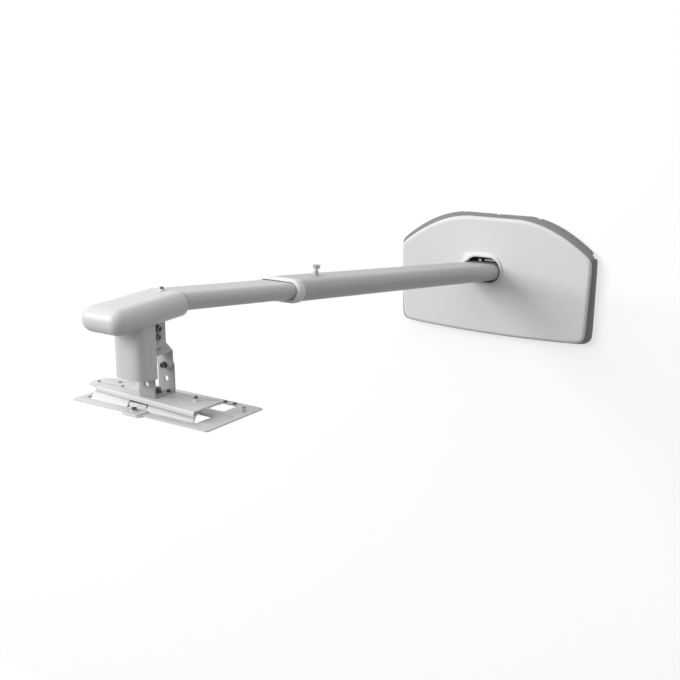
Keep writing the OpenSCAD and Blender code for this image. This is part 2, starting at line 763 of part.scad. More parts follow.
// Projector plate: flat sheet, two lanced rails, windows and screw holes
rail_left = -137;
rail_right = 67.5;
lock_left = -62;
lock_right = -24;
lock_x = -37;
lock_y = -1097.5;
tab_x = -32.5;
tab_front = -1112.5;
window_left = 38;
window_right = 70;
stop_x = [44, 62];
stop_y = -985.5;
locate_x = -145;
locate_y = -1082.5;
guard_x = 93.6;
guard_y = -1006;
projector_y = -1036;
module rail(x0, x1, s) {
    translate([x0, plates_y, 0]) mirror([0, s < 0 ? 1 : 0, 0]) rotate([90, 0, 90])
        linear_extrude(x1 - x0) polygon([[rail_root, plate_top - eps], [rail_crest, rail_top],
            [rail_lip, rail_top], [rail_lip, rail_top - rail_t], [rail_crest - 0.8, rail_top - rail_t],
            [rail_root - 2.5, plate_top - eps]]);
}
module projector_plate() {
    back = -plate_front + plate_d;
    color("#dcdddf") difference() {
        union() {
            translate([arm_x, (back - plate_front) / 2, plate_top - plate_t])
                linear_extrude(plate_t) rounded_rect(plate_w, plate_d, 3.5);
            translate([tab_x, (tab_front - 1090) / 2, plate_top - plate_t])
                linear_extrude(plate_t) rounded_rect(35, -1090 - tab_front, 4);
            rail(rail_left, lock_left, -1);
            rail(lock_right, rail_right, -1);
            rail(rail_left + 16, 30, 1);
        }
        projector_hole_places() translate([0, 0, -20]) cylinder(d = screw_hole_d, h = 40);
        translate([locate_x, locate_y, plate_top - 10]) cylinder(d = 4.2, h = 20);
        translate([5, plates_y - rail_root + 2.7, plate_top - 10]) cube([rail_right - 5, 32.5, 20 - 11 + 0.9]);
        for (x = [window_left, 2 * arm_x - window_right - 20])
            translate([x, -1024, plate_top - 10]) cube([window_right - window_left, 33, 20]);
        translate([lock_x, lock_y, plate_top - 10]) cylinder(d = 5, h = 20);
        for (x = stop_x) translate([x, stop_y, plate_top - 10]) cylinder(d = 4, h = 20);
        translate([guard_x, guard_y, plate_top - 10]) cylinder(d = 4, h = 20);
        for (p = [[-2.6, -6], [3.4, -7], [5.4, -2]]) translate([guard_x + p[0], guard_y + p[1], plate_top - 10])
            cylinder(d = 1.8, h = 20);
    }
}
module rounded_rect(w, h, r) {
    union() {
        square([w - 2 * r, h], center = true);
        square([w, h - 2 * r], center = true);
        for (x = [-1, 1]) for (y = [-1, 1]) translate([x * (w / 2 - r), y * (h / 2 - r)]) circle(r = r);
    }
}
module projector_hole_places() {
    for (x = [-1, 1]) translate([arm_x + x * screw_span_x / 2, projector_y, plate_top]) children();
}

// Lock of the sideways slide: a tongue with a raised lip in the gap of the front rail
module slide_lock() {
    color("#e6e7e8") difference() {
        union() {
            translate([tab_x - 1, -1099.5, plate_top]) linear_extrude(1.6) rounded_rect(32, 24, 4);
            translate([lock_left + 4, -1087.5, plate_top]) cube([lock_right - lock_left - 6, 5, 1.6]);
            translate([lock_left + 4, -1084.5, plate_top]) cube([lock_right - lock_left - 6, 2, 8]);
            translate([lock_x, lock_y, plate_top]) cylinder(d = 10.5, h = 3.4);
        }
        translate([lock_x, lock_y, plate_top - 5]) cylinder(d = 5, h = 20);
        for (x = [-4, 4]) translate([lock_x + x, lock_y - 8, plate_top - 5]) cylinder(d = 2, h = 20);
    }
}
module slide_lock_screw() {
    color("#9a9c9f") translate([lock_x, lock_y, plate_top + 3.4]) socket_bolt(5, 8, 2.6, 9);
}
module plate_screws() {
    color("#9a9c9f") {
        for (x = stop_x) translate([x, stop_y, plate_top]) socket_bolt(4, 7.5, 3.4, 6);
        translate([guard_x, guard_y, plate_top]) socket_bolt(4, 7, 2.6, 5);
    }
}

wall_plate();
wall_cover();
cover_screws();
arm_flange();
flange_bolts();
outer_arm();
end_ring();
front_guide();
clamp_boss();
clamp_screw();
inner_arm();
rear_guide();
head_frame();
head_cover();
head_screw();
column_cover();
tilt_bolt();
tilt_nut();
tilt_lock_bolts();
hanger();
roll_bolts();
roll_nuts();
roll_bracket();
swivel_bolt();
swivel_nut();
swivel_lock_screws();
slide_plate();
slide_runners();
slide_stud();
glide_pads();
projector_plate();
slide_lock();
slide_lock_screw();
plate_screws();
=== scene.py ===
import bpy
import bmesh
import json
import numpy as np
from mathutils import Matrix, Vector


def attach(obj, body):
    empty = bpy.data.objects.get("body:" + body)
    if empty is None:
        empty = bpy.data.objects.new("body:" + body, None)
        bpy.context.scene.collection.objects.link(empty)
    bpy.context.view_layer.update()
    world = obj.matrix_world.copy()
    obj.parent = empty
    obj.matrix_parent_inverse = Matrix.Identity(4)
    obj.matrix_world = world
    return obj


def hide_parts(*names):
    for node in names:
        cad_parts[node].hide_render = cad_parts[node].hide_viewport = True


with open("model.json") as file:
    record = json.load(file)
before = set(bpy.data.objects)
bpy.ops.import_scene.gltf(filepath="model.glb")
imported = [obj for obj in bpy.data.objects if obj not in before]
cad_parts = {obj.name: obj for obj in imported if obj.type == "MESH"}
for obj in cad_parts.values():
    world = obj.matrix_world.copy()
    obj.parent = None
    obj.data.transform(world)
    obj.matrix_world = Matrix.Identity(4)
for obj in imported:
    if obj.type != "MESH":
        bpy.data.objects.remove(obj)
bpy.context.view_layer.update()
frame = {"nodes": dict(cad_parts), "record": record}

# Camera of the photograph: right of the arm and a little above it,
# looking back along it at the wall cover. Sizes are in millimetres here.
camera_place = (1044.0, -2151.0, 440.5)
camera_turn = 34.327
camera_down = 14.158
lens = bpy.data.cameras.new("photo_camera")
lens.sensor_width = 36.0
lens.lens = 56.61
lens.clip_end = 30.0
photo_camera = bpy.data.objects.new("photo_camera", lens)
photo_camera.location = [c / 1000 for c in camera_place]
photo_camera.rotation_euler = (np.radians(90 - camera_down), 0, np.radians(camera_turn))
bpy.context.scene.collection.objects.link(photo_camera)
bpy.context.scene.camera = photo_camera
bpy.context.scene.view_settings.view_transform = "Standard"

# Wall and floor of the studio: plain, pale, and plain white to the camera,
# with the soft shadow of the wall unit kept on the wall. Seen from behind, the wall is clear.
wall_tone, wall_glow = 0.45, 0.63
floor_tone, floor_glow = 0.17, 0.88


def paper(name, tone, shine):
    """Diffuse paper of that tone that adds its own shine for camera, glossy and transmission rays only."""
    made = bpy.data.materials.new(name)
    made.use_nodes = True
    n, l = made.node_tree.nodes, made.node_tree.links
    n.clear()
    out = n.new("ShaderNodeOutputMaterial")
    matt = n.new("ShaderNodeBsdfDiffuse")
    matt.inputs["Color"].default_value = (tone, tone, tone, 1)
    glow = n.new("ShaderNodeEmission")
    seen = n.new("ShaderNodeLightPath")
    by_eye = n.new("ShaderNodeMath")
    by_eye.operation = "ADD"
    by_eye.use_clamp = True
    by_glass = n.new("ShaderNodeMath")
    by_glass.operation = "ADD"
    by_glass.use_clamp = True
    strength = n.new("ShaderNodeMath")
    strength.operation = "MULTIPLY"
    strength.inputs[1].default_value = shine
    both = n.new("ShaderNodeAddShader")
    clear = n.new("ShaderNodeBsdfTransparent")
    facing = n.new("ShaderNodeNewGeometry")
    front_only = n.new("ShaderNodeMixShader")
    for start, end in [(seen.outputs["Is Camera Ray"], by_eye.inputs[0]),
                       (seen.outputs["Is Glossy Ray"], by_eye.inputs[1]),
                       (by_eye.outputs[0], by_glass.inputs[0]),
                       (seen.outputs["Is Transmission Ray"], by_glass.inputs[1]),
                       (by_glass.outputs[0], strength.inputs[0]),
                       (strength.outputs[0], glow.inputs["Strength"]),
                       (matt.outputs[0], both.inputs[0]), (glow.outputs[0], both.inputs[1]),
                       (facing.outputs["Backfacing"], front_only.inputs["Fac"]),
                       (both.outputs[0], front_only.inputs[1]), (clear.outputs[0], front_only.inputs[2]),
                       (front_only.outputs[0], out.inputs["Surface"])]:
        l.new(start, end)
    return made


def flat_sheet(name, material, corners):
    """One four-cornered sheet of the studio through the given points, in metres."""
    mesh = bpy.data.meshes.new(name)
    mesh.from_pydata([Vector(c) for c in corners], [], [(0, 1, 2, 3)])
    mesh.materials.append(material)
    sheet = bpy.data.objects.new(name, mesh)
    bpy.context.scene.collection.objects.link(sheet)


wall_back = 0.0006
floor_down = -1.6
flat_sheet("studio_wall", paper("studio_wall_white", wall_tone, wall_glow),
           [(-7, wall_back, floor_down), (7, wall_back, floor_down), (7, wall_back, 5), (-7, wall_back, 5)])
flat_sheet("studio_floor", paper("studio_floor_white", floor_tone, floor_glow),
           [(-7, -7, floor_down), (7, -7, floor_down), (7, wall_back, floor_down), (-7, wall_back, floor_down)])

# Light: one big soft box high at the front left, a weak one overhead,
# and room light that is brightest from above, the left and the front.
room = bpy.data.worlds.new("room")
room.use_nodes = True
air = room.node_tree.nodes["Background"]
ways = room.node_tree.nodes.new("ShaderNodeTexCoord")
toward = room.node_tree.nodes.new("ShaderNodeVectorMath")
toward.operation = "DOT_PRODUCT"
toward.inputs[1].default_value = (-0.16, -0.14, 0.96)
level = room.node_tree.nodes.new("ShaderNodeMapRange")
level.inputs["From Min"].default_value = -1.0
steep = room.node_tree.nodes.new("ShaderNodeMath")
steep.operation = "POWER"
steep.inputs[1].default_value = 1.5
gain = room.node_tree.nodes.new("ShaderNodeMath")
gain.operation = "MULTIPLY"
gain.inputs[1].default_value = 0.89
by_camera = room.node_tree.nodes.new("ShaderNodeLightPath")
plain = room.node_tree.nodes.new("ShaderNodeMath")
plain.operation = "MAXIMUM"
air.inputs["Color"].default_value = (1, 1, 1, 1)
for start, end in [(ways.outputs["Generated"], toward.inputs[0]), (toward.outputs["Value"], level.inputs["Value"]),
                   (level.outputs["Result"], steep.inputs[0]), (steep.outputs[0], gain.inputs[0]),
                   (gain.outputs[0], plain.inputs[0]), (by_camera.outputs["Is Camera Ray"], plain.inputs[1]),
                   (plain.outputs[0], air.inputs["Strength"])]:
    room.node_tree.links.new(start, end)
bpy.context.scene.world = room


def soft_box(name, place, aim, size, power):
    """A square area lamp at place, facing aim; all in metres and watts."""
    lamp = bpy.data.lights.new(name, "AREA")
    lamp.shape = "SQUARE"
    lamp.size = size
    lamp.energy = power
    box = bpy.data.objects.new(name, lamp)
    box.location = place
    box.rotation_euler = (Vector(aim) - Vector(place)).to_track_quat("-Z", "Y").to_euler()
    bpy.context.scene.collection.objects.link(box)


soft_box("key_box", (-4.9, -5.9, 3.0), (0.0, -0.6, 0.05), 3.8, 400)
soft_box("top_box", (-0.4, -1.4, 2.6), (0.0, -0.8, 0.0), 1.6, 6)

# Powder coat and moulded plastic: both need a fine grain, built once as a group.
# Grain is small noise in object space, in millimetre waves, given out as a height.
grain = bpy.data.node_groups.new("fine_grain", "ShaderNodeTree")
for way, kind, label in [("INPUT", "Float", "Wave length mm"), ("INPUT", "Float", "Mottle"),
                         ("INPUT", "Color", "Colour"), ("INPUT", "Float", "Roughness"),
                         ("OUTPUT", "Float", "Height"), ("OUTPUT", "Color", "Colour"),
                         ("OUTPUT", "Float", "Roughness")]:
    grain.interface.new_socket(label, in_out=way, socket_type="NodeSocket" + kind)
given = grain.nodes.new("NodeGroupInput")
given_out = grain.nodes.new("NodeGroupOutput")
where = grain.nodes.new("ShaderNodeTexCoord")
scale = grain.nodes.new("ShaderNodeMath")
scale.operation = "DIVIDE"
scale.inputs[0].default_value = 1000.0
speck = grain.nodes.new("ShaderNodeTexNoise")
speck.inputs["Detail"].default_value = 2.0
cloud = grain.nodes.new("ShaderNodeTexNoise")
cloud.inputs["Scale"].default_value = 9.0
cloud.inputs["Detail"].default_value = 3.0
shade = grain.nodes.new("ShaderNodeMath")
shade.operation = "SUBTRACT"
shade.inputs[1].default_value = 0.5
amount = grain.nodes.new("ShaderNodeMath")
amount.operation = "MULTIPLY"
lift = grain.nodes.new("ShaderNodeMath")
lift.operation = "ADD"
lift.inputs[1].default_value = 1.0
tint = grain.nodes.new("ShaderNodeMix")
tint.data_type = "RGBA"
tint.blend_type = "MULTIPLY"
tint.inputs["Factor"].default_value = 1.0
rough = grain.nodes.new("ShaderNodeMath")
rough.operation = "MULTIPLY"
for start, end in [(given.outputs["Wave length mm"], scale.inputs[1]),
                   (scale.outputs[0], speck.inputs["Scale"]),
                   (where.outputs["Object"], speck.inputs["Vector"]),
                   (where.outputs["Object"], cloud.inputs["Vector"]),
                   (cloud.outputs["Fac"], shade.inputs[0]),
                   (shade.outputs[0], amount.inputs[0]),
                   (given.outputs["Mottle"], amount.inputs[1]),
                   (amount.outputs[0], lift.inputs[0]),
                   (given.outputs["Colour"], tint.inputs["A"]),
                   (lift.outputs[0], tint.inputs["B"]),
                   (given.outputs["Roughness"], rough.inputs[0]),
                   (lift.outputs[0], rough.inputs[1]),
                   (speck.outputs["Fac"], given_out.inputs["Height"]),
                   (tint.outputs["Result"], given_out.inputs["Colour"]),
                   (rough.outputs[0], given_out.inputs["Roughness"])]:
    grain.links.new(start, end)


def finish(name, colour, roughness, wave, depth, mottle, metallic=0.0):
    """A finish: colour and roughness with slow mottling, and a fine bump of that wave and depth in mm."""
    made = bpy.data.materials.new(name)
    made.use_nodes = True
    n, l = made.node_tree.nodes, made.node_tree.links
    surface = n["Principled BSDF"]
    surface.inputs["Metallic"].default_value = metallic
    fine = n.new("ShaderNodeGroup")
    fine.node_tree = grain
    fine.inputs["Wave length mm"].default_value = wave
    fine.inputs["Mottle"].default_value = mottle
    fine.inputs["Colour"].default_value = (*colour, 1)
    fine.inputs["Roughness"].default_value = roughness
    bump = n.new("ShaderNodeBump")
    bump.inputs["Distance"].default_value = depth / 1000
    bump.inputs["Strength"].default_value = 0.6
    l.new(fine.outputs["Height"], bump.inputs["Height"])
    l.new(bump.outputs["Normal"], surface.inputs["Normal"])
    l.new(fine.outputs["Colour"], surface.inputs["Base Color"])
    l.new(fine.outputs["Roughness"], surface.inputs["Roughness"])
    return made


def add_piece(name, body, slot, material, points, faces, sharp=35.0, stands_for=()):
    """Makes a piece from points in mm, shaded smooth below the sharp angle, riding on its body."""
    mesh = bpy.data.meshes.new(name)
    mesh.from_pydata((np.asarray(points) / 1000.0).tolist(), [], faces)
    mesh.materials.append(material)
    mesh.shade_smooth()
    mesh.set_sharp_from_angle(angle=np.radians(sharp))
    piece = bpy.data.objects.new(name, mesh)
    bpy.context.scene.collection.objects.link(piece)
    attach(piece, body)
    if stands_for:
        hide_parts(*stands_for)
    return piece


def soft_copy(node, material, sharp=32.0, round_off=0.0, shift=(0, 0, 0)):
    """A copy of a CAD node with its loose triangles merged and shaded smooth, its edges rounded off by some mm."""
    solid = frame["nodes"][node]
    work = bmesh.new()
    work.from_mesh(solid.data)
    bmesh.ops.remove_doubles(work, verts=work.verts, dist=1e-6)
    if round_off:
        bmesh.ops.dissolve_limit(work, angle_limit=np.radians(1), verts=work.verts, edges=work.edges)
    work.verts.ensure_lookup_table()
    points = np.array([v.co for v in work.verts]) * 1000 + np.array(shift)
    faces = [[v.index for v in f.verts] for f in work.faces]
    work.free()
    members = frame["record"]["behaviour"]["bodies"]
    body = next(b for b, held in members.items() if node in held)
    used = next(p["material_slot"] for p in frame["record"]["subparts"] if p["node"] == node)
    piece = add_piece(node + "_skin", body, used, material, points, faces, sharp, (node,))
    if round_off:
        bevel = piece.modifiers.new("edges", "BEVEL")
        bevel.width = round_off / 1000
        bevel.segments = 2
        bevel.limit_method = "ANGLE"
        bevel.angle_limit = np.radians(40)
    return piece


def skin(rings, joined=False):
    """A closed skin over rings of points: quads between neighbours, with flat ends or the last ring joined to
    the first. It is turned inside out where its volume, the sum of a.(b x c)/6 over its triangles, is negative."""
    rings = np.asarray(rings, float)
    count, around = rings.shape[:2]
    points = rings.reshape(-1, 3)
    i = np.arange(count if joined else count - 1)[:, None]
    j = np.arange(around)[None, :]
    here, there, side = i * around, ((i + 1) % count) * around, (j + 1) % around
    quads = np.stack([here + j, here + side, there + side, there + j], -1).reshape(-1, 4)
    ends = [] if joined else [np.arange(around)[::-1], np.arange(around) + (count - 1) * around]
    p = points - points.mean(0)
    fans = [(q[:, 0], q[:, 1], q[:, 2]) for q in (p[quads], p[quads][:, [0, 2, 3]])]
    fans += [(np.repeat(p[e[:1]], around - 2, 0), p[e[1:-1]], p[e[2:]]) for e in ends]
    volume = sum(np.einsum("ij,ij->", a, np.cross(b, c)) for a, b, c in fans)
    faces = quads.tolist() + [e.tolist() for e in ends]
    return points, (faces if volume > 0 else [f[::-1] for f in faces])


def put_together(parts):
    """Several (points, faces) lists as one."""
    points, faces, first = [], [], 0
    for p, f in parts:
        points.append(np.asarray(p, float))
        faces += [[v + first for v in face] for face in f]
        first += len(p)
    return np.concatenate(points), faces


# Wall plate, arm foot and their bolts: folded and welded steel, powder coated,
# hidden by the cover but for what shows through the arm's opening.
# Painted shade: the wall plate's and the foot's coats are set near black so that the inside of the cover reads dark
# through the opening.
plate_shade_coat = finish("wall_plate_painted_shade", (0.13, 0.131, 0.134), 0.5, 0.9, 0.05, 0.05)
foot_shade_coat = finish("arm_foot_painted_shade", (0.07, 0.07, 0.072), 0.5, 0.9, 0.05, 0.08)
plated = finish("zinc_plating", (0.62, 0.62, 0.63), 0.34, 0.5, 0.03, 0.25, metallic=0.8)
soft_copy("wall_plate", plate_shade_coat)
soft_copy("arm_flange", foot_shade_coat)
soft_copy("flange_bolts", plated)
soft_copy("cover_screws", plated)

# Wall cover: a shallow moulded shell in pale plastic with a soft front edge and a raised collar round
# the arm's opening. It clips over a dark frame of its own, whose rear edge has small cable notches.
cover_face = -28.0
cover_wall = 2.4
edge_round = 7.0
shell_back = -20.6
opening_centre = np.array([-19.0, 9.6])
moulded = finish("moulded_cover", (0.80, 0.803, 0.812), 0.42, 0.7, 0.035, 0.015)
frame_dark = finish("moulded_frame", (0.235, 0.237, 0.243), 0.5, 0.7, 0.035, 0.04)


# Half width and its lean, top, half of the top's flat part, its fall and power, and bottom of an outline, in mm.
shell_form = (230.0, 0.045, 126.2, 55.0, 0.00407, 1.9, -135.8)
frame_form = (234.8, 0.015, 133.0, 76.5, 0.0069, 1.83, -139.2)


def cover_reach(ray, form, inset):
    """Distance from the cover's middle to its outline along each ray, inset by some mm and found by halving. The
    outline blends the top z = top - fall (|x| - flat)^power, the side |x| = half + lean z and the bottom
    z = low + x^2 / 6960: it lies where soft * ln(sum of exp(distance past each edge / soft)) = -inset."""
    half, lean, top, flat, fall, power, low = form
    near, far = np.zeros(len(ray)), np.full(len(ray), 300.0)
    for _ in range(40):
        middle = (near + far) / 2
        x, z = np.abs(ray[:, 0] * middle), ray[:, 1] * middle
        past = np.maximum(x - flat, 0)
        above = (z - top + fall * past ** power) / np.hypot(1, fall * power * past ** (power - 1))
        beside = x - half - lean * np.minimum(z, 25)
        below = low + x ** 2 / 6960 - z
        soft = 7.5 - 4 * np.clip((z + 60) / 80, 0, 1)
        over = np.logaddexp(np.logaddexp(above / soft, beside / soft), below / soft)
        outside = over * soft > -inset
        near, far = np.where(outside, near, middle), np.where(outside, middle, far)
    return near


fine_turn = np.linspace(0, 2 * np.pi, 2401)
fine_ray = np.stack([np.sin(fine_turn), np.cos(fine_turn)], 1)
fine_line = fine_ray * cover_reach(fine_ray, frame_form, 0)[:, None]
walked = np.append(0, np.cumsum(np.linalg.norm(np.diff(fine_line, axis=0), axis=1)))
even_turn = np.interp(np.arange(600) / 600 * walked[-1], walked, fine_turn)
rays = np.stack([np.sin(even_turn), np.cos(even_turn)], 1)


def cover_outline(inset, form=shell_form):
    """Outline of the cover's shell or frame as 600 (x, z) points, inset by some mm."""
    return rays * cover_reach(rays, form, inset)[:, None]


def opening_reach(way, left, right, height, radius, arm_margin):
    """Distance from the opening's centre to its edge along each way: the farther of a long hole with ends of that
    radius and of the arm's oval with a margin, blended softly. Each is found by halving the interval."""
    def edge(x0, x1, z, r):
        near, far = np.zeros(len(way)), np.full(len(way), 300.0)
        for _ in range(40):
            middle = (near + far) / 2
            p = opening_centre + way * middle[:, None]
            outside = np.hypot(p[:, 0] - np.clip(p[:, 0], x0, x1), p[:, 1] - z) > r
            near, far = np.where(outside, near, middle), np.where(outside, middle, far)
        return near
    hole = edge(left, right, height, radius)
    arm = edge(-26.0 - 29.0, -26.0 + 29.0, 5.6, 18.0 + arm_margin)
    soft = 1.5
    return soft * np.logaddexp(hole / soft, arm / soft)


def cover_ring(outline, y):
    """An (x, z) outline as a ring of points at the distance y from the wall."""
    return np.stack([outline[:, 0], np.broadcast_to(y, len(outline)), outline[:, 1]], 1)


soft_rim = cover_outline(edge_round)
way = soft_rim - opening_centre
way /= np.linalg.norm(way, axis=1)[:, None]


def collar_ring(share, y):
    """Ring of the collar between its foot on the face (share 0) and the opening's edge (share 1)."""
    foot = opening_reach(way, -37.0, -7.0, 12.6, 35.7, 7.0)
    hole = opening_reach(way, -34.0, -4.5, 9.6, 28.0, 1.6)
    reach = foot + (hole - foot) * share
    return cover_ring(opening_centre + way * reach[:, None], y)


turn = np.linspace(0, np.pi / 2, 9)
shell = [cover_ring(cover_outline(0), shell_back), cover_ring(cover_outline(0), shell_back - 0.2)]
shell += [cover_ring(cover_outline(edge_round * (1 - np.cos(a))), cover_face + edge_round * (1 - np.sin(a)))
          for a in turn]
foot_ring = collar_ring(0, cover_face)
shell += [shell[-1] + (foot_ring - shell[-1]) * s for s in (0.03, 0.3, 0.6, 0.9)]
shell += [collar_ring(s, y) for s, y in [(0, cover_face), (0.06, -28.5), (0.2, -30.6), (0.36, -32.0),
                                         (0.56, -32.9), (0.78, -33.1), (0.93, -32.7), (1.0, -31.8),
                                         (1.0, -28.0), (1.0, -24.0), (0.75, -23.8), (0.7, -25.6)]]
back_rim = cover_ring(cover_outline(cover_wall + 3), cover_face + cover_wall)
shell += [shell[-1] + (back_rim - shell[-1]) * s for s in (0.4, 0.8, 1.0)]
shell += [cover_ring(cover_outline(cover_wall + 0.8), cover_face + cover_wall + 0.8),
          cover_ring(cover_outline(cover_wall), cover_face + cover_wall + 2),
          cover_ring(cover_outline(cover_wall), shell_back)]
add_piece("wall_cover_shell", "wall_unit", "cover_plastic", moulded, *skin(shell, joined=True),
          stands_for=("wall_cover",))

frame_front, frame_rear, notch_depth = -20.4, -0.3, 12.0
rim = cover_outline(0, frame_form)
notch = np.zeros(len(rim))
for place in (-82.0, 4.0, 102.0):
    beside = np.where(rim[:, 1] > 90, np.abs(rim[:, 0] - place), 99)
    notch = np.maximum(notch, np.clip((3.8 - beside) / 1.5 + 0.5, 0, 1))
gap = np.clip((5.5 - np.abs(rim[:, 1] - 59.5)) / 1.5 + 0.5, 0, 1) * (np.abs(rim[:, 0]) > 150)
rear_edge = frame_rear - np.maximum(notch * notch_depth, gap * 14.0)


def frame_ring(inset, y):
    """Ring of the dark frame, set in by 0.9 mm more above the side gaps."""
    stepped = 0.9 * np.clip((rim[:, 1] - 57) / 3, 0, 1)
    outline = cover_outline(inset, frame_form)
    return cover_ring(outline * (1 - stepped / np.linalg.norm(outline, axis=1))[:, None], y)


dark_frame = [cover_ring(cover_outline(1.0), frame_front), frame_ring(2.0, -16.5), frame_ring(0.4, -14.6),
              frame_ring(0.0, np.minimum(-13.0, rear_edge)), frame_ring(0.0, rear_edge),
              frame_ring(3.0, rear_edge), frame_ring(4.0, -14.6), cover_ring(cover_outline(3.5), frame_front + 1)]
add_piece("wall_cover_frame", "wall_unit", "guide_plastic", frame_dark, *skin(dark_frame, joined=True))

# Strap and stud on top of the arm's foot: plated steel, just seen through the opening.
strap_ring = np.array([[-22.0, -14.5, 27.8], [-22.0, -9.5, 27.8], [-22.0, -9.5, 30.4], [-22.0, -14.5, 30.4]])
add_piece("foot_strap", "wall_unit", "plated_steel", plated, *skin([strap_ring, strap_ring + [28.0, 0, 0]]))
add_piece("foot_stud", "wall_unit", "plated_steel", plated,
          *skin([cover_ring(np.array([-33.5, 27.6]) + 3.4 * np.stack([np.cos(fine_turn[:-1:200]),
                                                                       np.sin(fine_turn[:-1:200])], 1), y)
                 for y in (-16.0, -9.0)]))

# Outer arm: a drawn flat-oval steel tube, powder coated mid grey, with a moulded end ring, the black
# bearing sleeve in its mouth and the welded boss of the thumb screw.
outer_paint = finish("powder_coat_outer", (0.52, 0.523, 0.53), 0.46, 0.9, 0.05, 0.03)
ring_white = finish("ring_plastic", (0.86, 0.86, 0.865), 0.34, 0.7, 0.02, 0.02)
slider_black = finish("slider_plastic", (0.045, 0.045, 0.048), 0.5, 0.6, 0.02, 0.15)
soft_copy("outer_arm", outer_paint)
soft_copy("end_ring", ring_white)
soft_copy("front_guide", slider_black)
soft_copy("rear_guide", slider_black)
soft_copy("clamp_boss", plated, round_off=0.3)
soft_copy("clamp_screw", plated)

# Inner arm: a slimmer oval tube of the same make in a lighter coat. It is mitred
# where the head cover begins, a little past the bend.
arm_rise = np.radians(6.3)
head_fall = np.radians(2.4)
bend = np.array([-26.0, -28.0 - 996.0 * np.cos(arm_rise), 5.3 + 996.0 * np.sin(arm_rise)])
seam = 11.0
inner_paint = finish("powder_coat_inner", (0.64, 0.643, 0.652), 0.46, 0.9, 0.05, 0.03)


def oval(width, height, steps=40):
    """Flat oval as (x, h) points: two half circles joined by flats of four steps each."""
    r, flat = height / 2, (width - height) / 2
    a = np.linspace(-np.pi / 2, np.pi / 2, steps + 1)
    right = np.stack([flat + r * np.cos(a), r * np.sin(a)], 1)
    top = np.stack([np.linspace(flat, -flat, 6)[1:-1], np.full(4, r)], 1)
    half = np.concatenate([right, top])
    return np.concatenate([half, -half])


def along(rise, t, section):
    """A ring of (x, h) points at the distance t along a line through the bend that rises by an angle."""
    x, h = section[:, 0], section[:, 1]
    return bend + np.stack([x, -t * np.cos(rise) + h * np.sin(rise), t * np.sin(rise) + h * np.cos(rise)], 1)


def mitre(section):
    """Distance along the arm, per point, of the plane that lies square to the head at the seam."""
    return (seam - 0.3 + section[:, 1] * np.sin(arm_rise + head_fall)) / np.cos(arm_rise + head_fall)


tube_out, tube_in = oval(79, 27), oval(74, 22)
tube = [along(arm_rise, mitre(tube_in), tube_in), along(arm_rise, -540.0, tube_in),
        along(arm_rise, -540.0, tube_out), along(arm_rise, mitre(tube_out), tube_out)]
add_piece("inner_arm_tube", "inner_arm_and_head", "painted_steel", inner_paint, *skin(tube, joined=True),
          stands_for=("inner_arm",))

# Head cover: a moulded sleeve in pale plastic with a full bull nose and a soft rear rim,
# open below where the hanger passes, screwed to the carrier from above.
head_w, head_h, head_end, nose_r = 82.0, 37.4, 152.4, 18.0
head_up = -1.2
head_plastic = finish("moulded_head", (0.75, 0.753, 0.762), 0.40, 0.7, 0.03, 0.015)


def head_ring(t, inset):
    """Ring of the head cover at the distance t from the bend, drawn in by the inset on all sides."""
    section = oval(head_w - 2 * inset, head_h - 2 * inset)
    section[:, 1] += head_up
    return along(-head_fall, t, section)


quarter = np.linspace(0, np.pi / 2, 15)[:-1]
nose = [(head_end - nose_r + nose_r * np.sin(a), nose_r * (1 - np.cos(a))) for a in quarter]
rear_rim = [(seam, 2.6), (seam + 0.5, 1.5), (seam + 1.6, 0.55), (seam + 3.2, 0.1), (seam + 5, 0.0)]
outside = [head_ring(t, inset) for t, inset in rear_rim + [(60, 0.0), (100, 0.0)] + nose]
outside += [head_ring(head_end, nose_r - 0.25)]
inside = [head_ring(head_end - 3, nose_r - 0.25), head_ring(head_end - 9, 8.0), head_ring(seam + 60, 2.6),
          head_ring(seam, 4.4)]
shut = skin(inside + outside)
add_piece("head_cover_shell", "inner_arm_and_head", "cover_plastic", head_plastic, *shut, sharp=50,
          stands_for=("head_cover",))


def turned(profile, place, up, around=36):
    """A turned piece: the (radius, height) profile swept round the axis through place along up."""
    up = np.asarray(up, float) / np.linalg.norm(up)
    side = np.cross(up, [0.3, 0.9, 0.1])
    side /= np.linalg.norm(side)
    a = np.linspace(0, 2 * np.pi, around, endpoint=False)
    spoke = np.cos(a)[:, None] * side + np.sin(a)[:, None] * np.cross(up, side)
    rings = [np.asarray(place, float) + max(r, 0.02) * spoke + h * up for r, h in profile]
    return skin(rings)


# Cap screw of the head cover: a small pale seat moulded on the cover,
# and a socket head screw that stands proud of it.
screw_grey = finish("dark_zinc", (0.20, 0.20, 0.205), 0.36, 0.5, 0.02, 0.2, metallic=0.7)
screw_top = along(-head_fall, 23.0, np.array([[0.0, head_h / 2 + head_up]]))[0]
head_normal = (0, -np.sin(head_fall), np.cos(head_fall))
seat = turned([(5.2, -1.0), (5.2, 0.3), (4.6, 2.4), (4.0, 2.8), (0, 2.8)], screw_top, head_normal)
add_piece("head_screw_seat", "inner_arm_and_head", "cover_plastic", head_plastic, *seat)
socket = [(2.0, -8.0), (2.0, 2.7), (2.8, 2.9), (3.0, 3.4), (3.0, 5.2), (2.7, 5.6), (1.9, 5.7), (1.7, 5.4), (1.5, 4.2),
          (0, 4.0)]
add_piece("head_screw_cap", "inner_arm_and_head", "plated_steel", screw_grey, *turned(socket, screw_top, head_normal),
          stands_for=("head_screw",))

# Column cover: a moulded shell, round in front and straight at the sides,
# open at the back, that hides the hanger's front leg.
column_r, column_front, column_back, column_low = 28.7, -1101.0, -1087.0, 12.6
column_square, column_deep, rim_rise = 3.2, 19.8, 0.075


